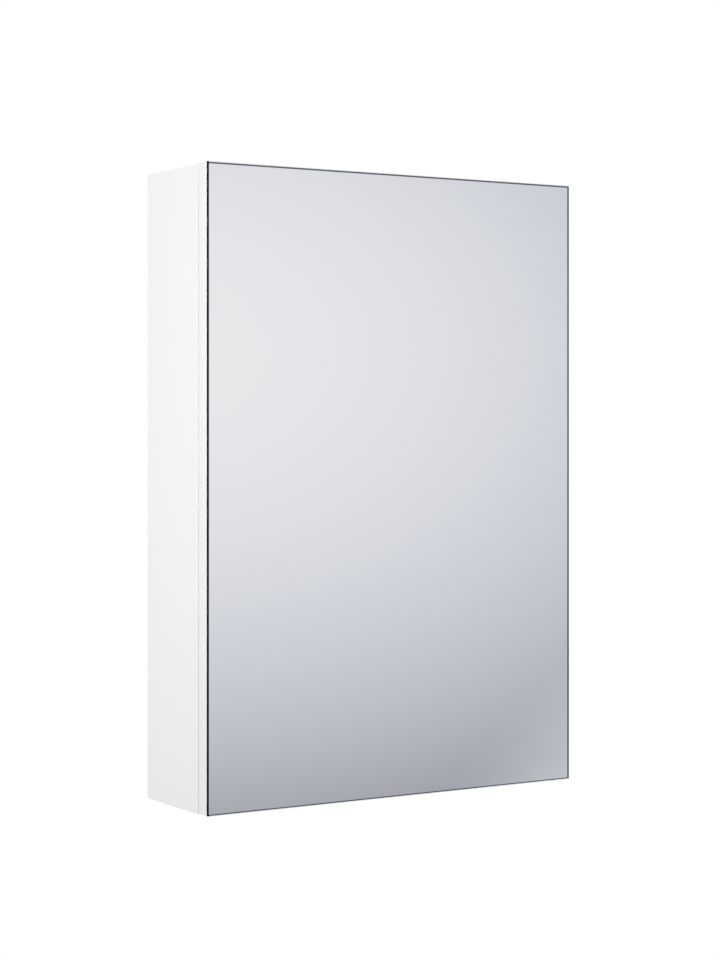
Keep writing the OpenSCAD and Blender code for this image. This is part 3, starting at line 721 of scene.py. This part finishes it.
# A round body from z = 0 up to its height, its top edge rounded more for a lower fullness
def makeDomeGroup():
    tree, given, result = newGroup("domedDisc", "GeometryNodeTree", {
        "Radius": ("Float", 5 * mm), "Height": ("Float", 2 * mm), "Fullness": ("Float", 3.0),
        "Sides": ("Int", 32), "Rings": ("Int", 12),
    }, {"Mesh": "Geometry"})
    lineInputs = {"End": vec(tree, z=given["Height"])}
    line = addNode(tree, "GeometryNodeCurvePrimitiveLine", lineInputs).outputs[0]
    pointInputs = {"Curve": line, "Count": given["Rings"]}
    points = addNode(tree, "GeometryNodeResampleCurve", pointInputs).outputs[0]
    step = addNode(tree, "GeometryNodeSplineParameter").outputs["Factor"]
    left = calc(tree, "SUBTRACT", 1.0, step)
    almost = 0.9995               # the top ring keeps a little width
    drop = calc(tree, "MULTIPLY", calc(tree, "MULTIPLY", left, left), almost)
    rise = calc(tree, "SUBTRACT", almost, drop)
    level = addNode(tree, "GeometryNodeSetPosition", {
        "Geometry": points, "Position": vec(tree, z=calc(tree, "MULTIPLY", rise, given["Height"])),
    }).outputs[0]
    narrowed = calc(tree, "SUBTRACT", 1.0, calc(tree, "POWER", rise, given["Fullness"]))
    share = calc(tree, "POWER", narrowed, calc(tree, "DIVIDE", 1.0, given["Fullness"]))
    width = calc(tree, "MULTIPLY", share, given["Radius"])
    tree.links.new(turned(tree, level, width, given["Sides"]), result["Mesh"])
    return tree


domeGroup = makeDomeGroup()


def dome(tree, radius, height, fullness, sides, rings):
    values = {"Radius": radius, "Height": height, "Fullness": fullness, "Sides": sides, "Rings": rings}
    return addNode(tree, "GeometryNodeGroup", values, node_tree=domeGroup).outputs[0]


def rod(tree, radius, length, top, sides):
    values = {"Vertices": sides, "Radius": radius, "Depth": length}
    body = addNode(tree, "GeometryNodeMeshCylinder", values).outputs[0]
    middle = calc(tree, "SUBTRACT", top, calc(tree, "MULTIPLY", length, 0.5))
    return shifted(tree, body, vec(tree, z=middle))


# Copies of one shape at the corners of a box. Each faces a fixed way, or inwards along an axis.
def atCorners(tree, given, shape):
    block = addNode(tree, "GeometryNodeMeshCube", {"Size": given["Spacing"]}).outputs[0]
    corners = merged(tree, block, 0.1 * mm)
    place = addNode(tree, "GeometryNodeInputPosition").outputs[0]
    outwards = vectorCalc(tree, "MULTIPLY", place, given["Inwards"])[0]
    facing = vectorCalc(tree, "SUBTRACT", given["Facing"], outwards)[0]
    turn = addNode(tree, "FunctionNodeAlignRotationToVector", {"Vector": facing}, axis="Z").outputs[0]
    return addNode(tree, "GeometryNodeInstanceOnPoints", {
        "Points": shifted(tree, corners, given["Middle"]), "Instance": shape, "Rotation": turn,
    }).outputs[0]


def finishTree(tree, given, result, instances):
    real = addNode(tree, "GeometryNodeRealizeInstances", {"Geometry": instances}).outputs[0]
    paintInputs = {"Geometry": merged(tree, real, mergeReach), "Material": given["Material"]}
    painted = addNode(tree, "GeometryNodeSetMaterial", paintInputs).outputs[0]
    tree.links.new(painted, result["Geometry"])
    return tree


placeInputs = {
    "Middle": ("Vector", (0.0, 0.0, 0.0)), "Spacing": ("Vector", (0.0, 0.0, 0.0)),
    "Facing": ("Vector", (0.0, 0.0, 0.0)), "Inwards": ("Vector", (0.0, 0.0, 0.0)),
    "Material": ("Material", None),
}
shankBite = 0.3 * mm              # how far the shank of a button or pin reaches into its head


# Round buttons with a spigot behind, such as the cam caps and the door buffers
def makeButtonTree():
    tree, given, result = newGroup("buttonSet", "GeometryNodeTree", {
        **placeInputs, "Radius": ("Float", 8.5 * mm), "Height": ("Float", 1 * mm),
        "Fullness": ("Float", 3.0), "Spigot Radius": ("Float", 1.5 * mm),
        "Spigot Length": ("Float", 2 * mm),
    }, {"Geometry": "Geometry"})
    head = dome(tree, given["Radius"], given["Height"], given["Fullness"], sides=48, rings=14)
    length = calc(tree, "ADD", given["Spigot Length"], shankBite)
    spigot = rod(tree, given["Spigot Radius"], length, shankBite, sides=24)
    return finishTree(tree, given, result, atCorners(tree, given, fused(tree, [head, spigot])))


# Shelf pins: a shank in the panel, a collar against it and a nose with a rounded end
def makePinTree():
    tree, given, result = newGroup("shelfPinSet", "GeometryNodeTree", {
        **placeInputs, "Pin Radius": ("Float", 2.4 * mm), "Shank": ("Float", 10 * mm),
        "Reach": ("Float", 7.5 * mm), "Collar Radius": ("Float", 4 * mm),
        "Collar Height": ("Float", 1 * mm),
    }, {"Geometry": "Geometry"})
    nose = dome(tree, given["Pin Radius"], given["Reach"], 9.0, sides=32, rings=16)
    collar = dome(tree, given["Collar Radius"], given["Collar Height"], 4.0, sides=40, rings=10)
    # a little slimmer than the nose, so that no two faces lie on each other
    slimmer = calc(tree, "SUBTRACT", given["Pin Radius"], 0.03 * mm)
    length = calc(tree, "ADD", given["Shank"], shankBite)
    shank = rod(tree, slimmer, length, shankBite, sides=32)
    whole = fused(tree, [nose, collar, shank])
    return finishTree(tree, given, result, atCorners(tree, given, whole))


screwShape = {
    "headFullness": 2.6,
    "bite": 0.2 * mm,             # how far the shank reaches into the head
    "tipLength": 0.2,             # share of the shank that narrows to its tip
    "tipWidth": 0.25,             # share of the full width that is left there
}


# Pan-head screws with a cross recess and a ridged shank
def makeScrewTree():
    tree, given, result = newGroup("screwSet", "GeometryNodeTree", {
        **placeInputs, "Head Radius": ("Float", 4 * mm), "Head Height": ("Float", 2 * mm),
        "Shank Radius": ("Float", 2 * mm), "Shank Length": ("Float", 12 * mm),
        "Ridge Depth": ("Float", 0.45 * mm), "Ridge Count": ("Int", 9),
        "Recess Length": ("Float", 4.4 * mm), "Recess Width": ("Float", 0.9 * mm),
        "Recess Depth": ("Float", 1.2 * mm),
    }, {"Geometry": "Geometry"})
    fullness = screwShape["headFullness"]
    head = dome(tree, given["Head Radius"], given["Head Height"], fullness, sides=40, rings=14)
    deep = calc(tree, "MULTIPLY", given["Recess Depth"], 2.0)
    cuts = []
    for across, along in (("Recess Length", "Recess Width"), ("Recess Width", "Recess Length")):
        size = vec(tree, given[across], given[along], deep)
        block = addNode(tree, "GeometryNodeMeshCube", {"Size": size}).outputs[0]
        cuts.append(shifted(tree, block, vec(tree, z=given["Head Height"])))
    foot = calc(tree, "MULTIPLY", given["Shank Length"], -1.0)
    line = addNode(tree, "GeometryNodeCurvePrimitiveLine", {
        "Start": vec(tree, z=foot), "End": vec(tree, z=screwShape["bite"]),
    }).outputs[0]
    count = calc(tree, "MULTIPLY_ADD", given["Ridge Count"], 2.0, 1.0)
    pointInputs = {"Curve": line, "Count": count}
    points = addNode(tree, "GeometryNodeResampleCurve", pointInputs).outputs[0]
    odd = calc(tree, "MODULO", addNode(tree, "GeometryNodeInputIndex").outputs[0], 2.0)
    step = addNode(tree, "GeometryNodeSplineParameter").outputs["Factor"]
    tip = remap(tree, step, 0.0, screwShape["tipLength"], screwShape["tipWidth"], 1.0)
    deepest = calc(tree, "SUBTRACT", given["Shank Radius"], given["Ridge Depth"])
    ridged = calc(tree, "MULTIPLY_ADD", odd, given["Ridge Depth"], deepest)
    shank = turned(tree, points, calc(tree, "MULTIPLY", ridged, tip), 20)
    whole = fused(tree, [fused(tree, [head, shank]), *cuts], "DIFFERENCE")
    return finishTree(tree, given, result, atCorners(tree, given, whole))


# Builds one piece from a tree, as a plain mesh
def growPiece(name, tree, values, body, nodeNames):
    obj = bpy.data.objects.new(name, bpy.data.meshes.new(name + "Start"))
    scene.collection.objects.link(obj)
    modifier = obj.modifiers.new("build", "NODES")
    modifier.node_group = tree
    for item in tree.interface.items_tree:
        if item.in_out == "INPUT" and item.name in values:
            modifier[item.identifier] = values[item.name]
    ready = obj.evaluated_get(bpy.context.evaluated_depsgraph_get())
    mesh = bpy.data.meshes.new_from_object(ready)
    obj.modifiers.remove(modifier)
    obj.data = mesh
    mesh.name = name
    shadeSmooth(mesh, math.radians(32))
    return settle(obj, body, nodeNames)


buttonTree = makeButtonTree()
pinTree = makePinTree()
screwTree = makeScrewTree()


# Where the copies of a CAD group stand: its box, the middle, and the box less the size of one piece
def spread(nodeName, sizeOfOne):
    low, high = (Vector(corner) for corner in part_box(nodeName))
    return {"low": low, "high": high, "middle": (low + high) / 2, "gap": high - low - Vector(sizeOfOne)}


capSizes = {
    "Radius": 8.5 * mm, "Height": 1.0 * mm, "Fullness": 3.2,
    "Spigot Radius": 1.5 * mm, "Spigot Length": 2.0 * mm,
}
acrossCap = 2 * capSizes["Radius"]
spots = spread("cam_cover_caps", (acrossCap, acrossCap, 0.0))
growPiece("camCaps", buttonTree, {
    **capSizes, "Middle": spots["middle"], "Spacing": (spots["gap"].x, spots["gap"].y, 2 * topLow[2]),
    "Inwards": (0.0, 0.0, 1.0), "Material": materials["whitePlastic"],
}, "cabinet", ["cam_cover_caps"])

bufferSizes = {
    "Radius": 4.5 * mm, "Height": 1.85 * mm, "Fullness": 2.3,
    "Spigot Radius": 1.0 * mm, "Spigot Length": 0.0,
}
acrossBuffer = 2 * bufferSizes["Radius"]
spots = spread("door_bumpers", (acrossBuffer, 0.0, acrossBuffer))
growPiece("doorBuffers", buttonTree, {
    **bufferSizes, "Middle": (spots["middle"].x, spots["low"].y, spots["middle"].z),
    "Spacing": (0.0, 0.0, spots["gap"].z), "Facing": (0.0, 1.0, 0.0),
    "Material": materials["clearPlastic"],
}, "door", ["door_bumpers"])

pinSizes = {
    "Pin Radius": 2.4 * mm, "Shank": 9.95 * mm, "Reach": 7.5 * mm,
    "Collar Radius": 4.0 * mm, "Collar Height": 1.0 * mm,
}
acrossCollar = 2 * pinSizes["Collar Radius"]
for end in ("upper", "lower"):
    spots = spread(f"shelf_pins_{end}", (0.0, acrossCollar, acrossCollar))
    growPiece(f"shelfPins{end.title()}", pinTree, {
        **pinSizes, "Middle": spots["middle"], "Spacing": (2 * sideLow[0], spots["gap"].y, 0.0),
        "Inwards": (1.0, 0.0, 0.0), "Material": materials["nickel"],
    }, "cabinet", [f"shelf_pins_{end}"])

plateScrews = {
    "Head Radius": 4.2 * mm, "Head Height": 2.2 * mm, "Shank Radius": 2.45 * mm,
    "Shank Length": 13.9 * mm, "Ridge Depth": 0.5 * mm, "Ridge Count": 7,
    "Recess Length": 4.4 * mm, "Recess Width": 0.9 * mm, "Recess Depth": 1.2 * mm,
}
cupScrews = {
    "Head Radius": 3.3 * mm, "Head Height": 1.6 * mm, "Shank Radius": 1.5 * mm,
    "Shank Length": 12.0 * mm, "Ridge Depth": 0.35 * mm, "Ridge Count": 9,
    "Recess Length": 3.8 * mm, "Recess Width": 0.8 * mm, "Recess Depth": 1.0 * mm,
}
acrossPlateHead = 2 * plateScrews["Head Radius"]
acrossCupHead = 2 * cupScrews["Head Radius"]
for end in ("upper", "lower"):
    spots = spread(f"{end}_hinge_plate_screws", (0.0, acrossPlateHead, acrossPlateHead))
    headPlane = spots["low"].x + plateScrews["Head Height"]
    growPiece(f"plateScrews{end.title()}", screwTree, {
        **plateScrews, "Middle": (headPlane, spots["middle"].y, spots["middle"].z),
        "Spacing": (0.0, spots["gap"].y, spots["gap"].z), "Facing": (-1.0, 0.0, 0.0),
        "Material": materials["nickel"],
    }, "cabinet", [f"{end}_hinge_plate_screws"])
    spots = spread(f"{end}_hinge_cup_screws", (acrossCupHead, 0.0, acrossCupHead))
    headPlane = spots["high"].y - cupScrews["Head Height"]
    growPiece(f"cupScrews{end.title()}", screwTree, {
        **cupScrews, "Middle": (spots["middle"].x, headPlane, spots["middle"].z),
        "Spacing": (spots["gap"].x, 0.0, spots["gap"].z), "Facing": (0.0, 1.0, 0.0),
        "Material": materials["nickel"],
    }, "door", [f"{end}_hinge_cup_screws"])
print("fittings grown")


pureWhite = rgb(1.0, 1.0, 1.0)
studio = {
    "floorHeight": -1.5,          # the floor of the room, with the cabinet hung at eye level
    "floorReach": 40.0,
    "floorPale": rgb(0.84, 0.84, 0.84),
    "floorShade": rgb(0.82, 0.82, 0.825),
    "floorCloudScale": 0.8,
    "fadeToWhite": (1.2, 3.0),    # metres from below the cabinet, for the camera alone
    "wallRadius": 3.5,
    "wallTop": 3.2,
    "ambient": 0.715,
    "lowSky": rgb(0.84, 0.86, 0.93),
    "highSky": rgb(0.98, 0.98, 1.02),
    "skyBlend": (-0.6, 0.7),
}


# A piece of the studio, which is no part of the cabinet
def showStage(name, mesh, material):
    obj = bpy.data.objects.new(name, mesh)
    scene.collection.objects.link(obj)
    coat(obj, material)
    return obj


def makeFloor():
    reach, height = studio["floorReach"], studio["floorHeight"]
    mesh = bpy.data.meshes.new("floor")
    corners = [(x * reach, y * reach, height) for x, y in ((-1, -1), (1, -1), (1, 1), (-1, 1))]
    mesh.from_pydata(corners, [], [(0, 1, 2, 3)])
    material, tree, shader, place = newMaterial("paleFloor", Roughness=0.9)
    x, y, _ = split(tree, place)
    squares = calc(tree, "MULTIPLY_ADD", x, x, calc(tree, "MULTIPLY", y, y))
    away = calc(tree, "SQRT", squares)
    cloud = noise(tree, place, studio["floorCloudScale"])
    pale = blendColour(tree, cloud, studio["floorPale"], studio["floorShade"])
    tree.links.new(pale, shader.inputs["Base Color"])
    glow = addNode(tree, "ShaderNodeEmission", {"Color": pureWhite, "Strength": 1.0}).outputs[0]
    seen = addNode(tree, "ShaderNodeLightPath").outputs["Is Camera Ray"]
    share = calc(tree, "MULTIPLY", seen, remap(tree, away, *studio["fadeToWhite"], smooth=True))
    mixed = addNode(tree, "ShaderNodeMixShader", {0: share, 1: shader.outputs[0], 2: glow}).outputs[0]
    tree.links.new(mixed, tree.nodes["Material Output"].inputs["Surface"])
    showStage("floor", mesh, material)


wallLook = {
    "peak": 0.879,                    # light in the middle of the pool
    "darkest": 0.40,
    "poolHeight": 0.26,               # above the middle of the cabinet
    "sink": 0.289,                    # light lost per square metre above and below
    "evenTo": math.radians(20),       # the pool reaches this far to either side at full light
    "fade": 1.51,                     # light lost per square radian beyond that
    "footLight": 0.20,                # extra light low down, higher up towards the sides
    "footFrom": math.radians(35.9),
    "footHeight": -0.9,
    "footSlope": 3.84,
    "footSoftness": 0.42,
    "screens": (math.radians(46), math.radians(58)),   # soft grey screens at both sides
    "screenGreys": (0.60, 0.95),      # at the floor and at the top
    "floorFrom": -1.0,                # below this the wall blends into the floor
    "floorGrey": 0.64,
    "whiteFrom": (math.radians(95), math.radians(112)),   # white further back
    "whiteSide": (1.2, -0.4),         # and only from here to the left
    "coolTint": rgb(0.955, 1.0, 1.083),
    "paleTint": rgb(1.012, 1.0, 1.031),
    "tintBlend": (0.61, 0.917),
}


# An upright band round the cabinet, from the floor to the top of the wall
def wallMesh():
    shape = bmesh.new()
    bmesh.ops.create_circle(shape, radius=studio["wallRadius"], segments=128)
    bmesh.ops.translate(shape, verts=shape.verts, vec=(0, 0, studio["floorHeight"]))
    made = bmesh.ops.extrude_edge_only(shape, edges=shape.edges[:])
    tops = [v for v in made["geom"] if isinstance(v, bmesh.types.BMVert)]
    rise = studio["wallTop"] - studio["floorHeight"]
    bmesh.ops.translate(shape, verts=tops, vec=(0, 0, rise))
    mesh = bpy.data.meshes.new("studioWall")
    shape.to_mesh(mesh)
    shape.free()
    return mesh


# A pool of light on the wall that the photo's camera sees in the mirror
def poolLight(tree, angle, z):
    look = wallLook
    rise = calc(tree, "SUBTRACT", z, look["poolHeight"])
    aside = calc(tree, "MAXIMUM", calc(tree, "SUBTRACT", angle, look["evenTo"]), 0.0)
    sunk = calc(tree, "MULTIPLY", calc(tree, "MULTIPLY", rise, rise), look["sink"])
    faded = calc(tree, "MULTIPLY", calc(tree, "MULTIPLY", aside, aside), look["fade"])
    pool = calc(tree, "SUBTRACT", look["peak"], calc(tree, "ADD", sunk, faded))
    pool = calc(tree, "MAXIMUM", pool, look["darkest"])
    footAside = calc(tree, "SUBTRACT", angle, look["footFrom"])
    footTop = calc(tree, "MULTIPLY_ADD", footAside, look["footSlope"], look["footHeight"])
    softness = look["footSoftness"] / 2
    below = calc(tree, "SUBTRACT", footTop, z)
    foot = remap(tree, below, -softness, softness, 0.0, look["footLight"], smooth=True)
    return calc(tree, "ADD", pool, foot)


# A round studio wall that glows in soft greys with a painted pool of light, which only mirrors and metal
# see
def makeStudioWall():
    look = wallLook
    material, tree, _, place = newMaterial("studioGreys")
    x, y, z = split(tree, place)
    angle = calc(tree, "ABSOLUTE", calc(tree, "ARCTAN2", x, calc(tree, "MULTIPLY", y, -1.0)))
    screen = remap(tree, angle, *look["screens"], smooth=True)
    screenGrey = remap(tree, z, studio["floorHeight"], studio["wallTop"], *look["screenGreys"])
    level = remap(tree, screen, 0.0, 1.0, poolLight(tree, angle, z), screenGrey)
    low = remap(tree, z, look["floorFrom"], studio["floorHeight"], smooth=True)
    level = remap(tree, low, 0.0, 1.0, level, look["floorGrey"])
    cool = remap(tree, level, *look["tintBlend"], smooth=True)
    tint = blendColour(tree, cool, look["coolTint"], look["paleTint"])
    atBack = remap(tree, angle, *look["whiteFrom"], smooth=True)
    atLeft = remap(tree, x, *look["whiteSide"], smooth=True)
    share = calc(tree, "MULTIPLY", atBack, atLeft)
    greys = addNode(tree, "ShaderNodeEmission", {"Color": tint, "Strength": level}).outputs[0]
    pale = addNode(tree, "ShaderNodeEmission", {"Color": pureWhite, "Strength": 1.0}).outputs[0]
    glow = addNode(tree, "ShaderNodeMixShader", {0: share, 1: greys, 2: pale}).outputs[0]
    tree.links.new(glow, tree.nodes["Material Output"].inputs["Surface"])
    obj = showStage("studioWall", wallMesh(), material)
    for sight in ("camera", "diffuse", "transmission", "volume_scatter", "shadow"):
        setattr(obj, "visible_" + sight, False)


# Soft light from all round, while the camera, mirrors and glass see plain white
def makeWorld():
    world = bpy.data.worlds.new("studioLight")
    scene.world = world
    world.use_nodes = True
    tree = world.node_tree
    tree.nodes.clear()
    up = split(tree, addNode(tree, "ShaderNodeTexCoord").outputs["Generated"])[2]
    high = remap(tree, up, *studio["skyBlend"])
    sky = blendColour(tree, high, studio["lowSky"], studio["highSky"])
    soft = addNode(tree, "ShaderNodeBackground", {0: sky, 1: studio["ambient"]}).outputs[0]
    plain = addNode(tree, "ShaderNodeBackground", {0: pureWhite, 1: 1.0}).outputs[0]
    path = addNode(tree, "ShaderNodeLightPath").outputs
    mirrored = calc(tree, "MAXIMUM", path["Is Glossy Ray"], path["Is Transmission Ray"])
    seen = calc(tree, "MAXIMUM", path["Is Camera Ray"], mirrored)
    mixed = addNode(tree, "ShaderNodeMixShader", {0: seen, 1: soft, 2: plain}).outputs[0]
    tree.links.new(mixed, addNode(tree, "ShaderNodeOutputWorld").inputs["Surface"])


# Soft area lamps: place, size in metres, power in watts
lamps = {
    "frontRight": ((1.6, -2.4, 0.9), 1.8, 14.0),
    "overhead": ((0.2, -0.2, 2.4), 2.0, 8.0),
    "behind": ((1.2, 2.2, 1.2), 1.8, 18.0),
}

# The main lamp at the left, whose beam ends softly just below the cabinet
mainLamp = {
    "place": (-1.73, -1.48, 0.45),
    "aim": (-0.24, -0.07, 0.165),
    "beam": 54.0,                 # degrees
    "softness": 0.45,             # radius in metres
    "power": 90.0,
    "colour": (1.0, 0.995, 0.90),
}


def addLamp(name, kind, place, aim, power):
    data = bpy.data.lights.new(name, kind)
    data.energy = power
    obj = bpy.data.objects.new(name, data)
    obj.location = place
    obj.rotation_euler = (Vector(aim) - Vector(place)).to_track_quat("-Z", "Y").to_euler()
    obj.visible_glossy = False
    scene.collection.objects.link(obj)
    return data


def makeLamps():
    for name, (place, size, power) in lamps.items():
        data = addLamp(name, "AREA", place, (0.0, 0.0, 0.0), power)
        data.shape = "DISK"
        data.size = size
    data = addLamp("mainLamp", "SPOT", mainLamp["place"], mainLamp["aim"], mainLamp["power"])
    data.color = mainLamp["colour"]
    data.spot_size = math.radians(mainLamp["beam"])
    data.spot_blend = 1.0
    data.shadow_soft_size = mainLamp["softness"]


makeFloor()
makeStudioWall()
makeWorld()
makeLamps()
print("studio lit")


photoView = {
    "place": (-1.3438, -2.2481, 0.0738),
    "turn": -31.62,               # degrees from straight in front, to the left
    "lens": 83.22,                # millimetres, like the sensor's width
    "sensor": 36.0,
    "drop": 0.0617,               # the level camera's view, moved down by this share of its height
}


def makeCamera():
    data = bpy.data.cameras.new("photoCamera")
    data.lens = photoView["lens"]
    data.sensor_width = photoView["sensor"]
    data.shift_y = -photoView["drop"]
    data.clip_start, data.clip_end = 0.05, 100.0
    obj = bpy.data.objects.new("photoCamera", data)
    obj.location = photoView["place"]
    obj.rotation_euler = (math.pi / 2, 0.0, math.radians(photoView["turn"]))
    scene.collection.objects.link(obj)
    scene.camera = obj


makeCamera()
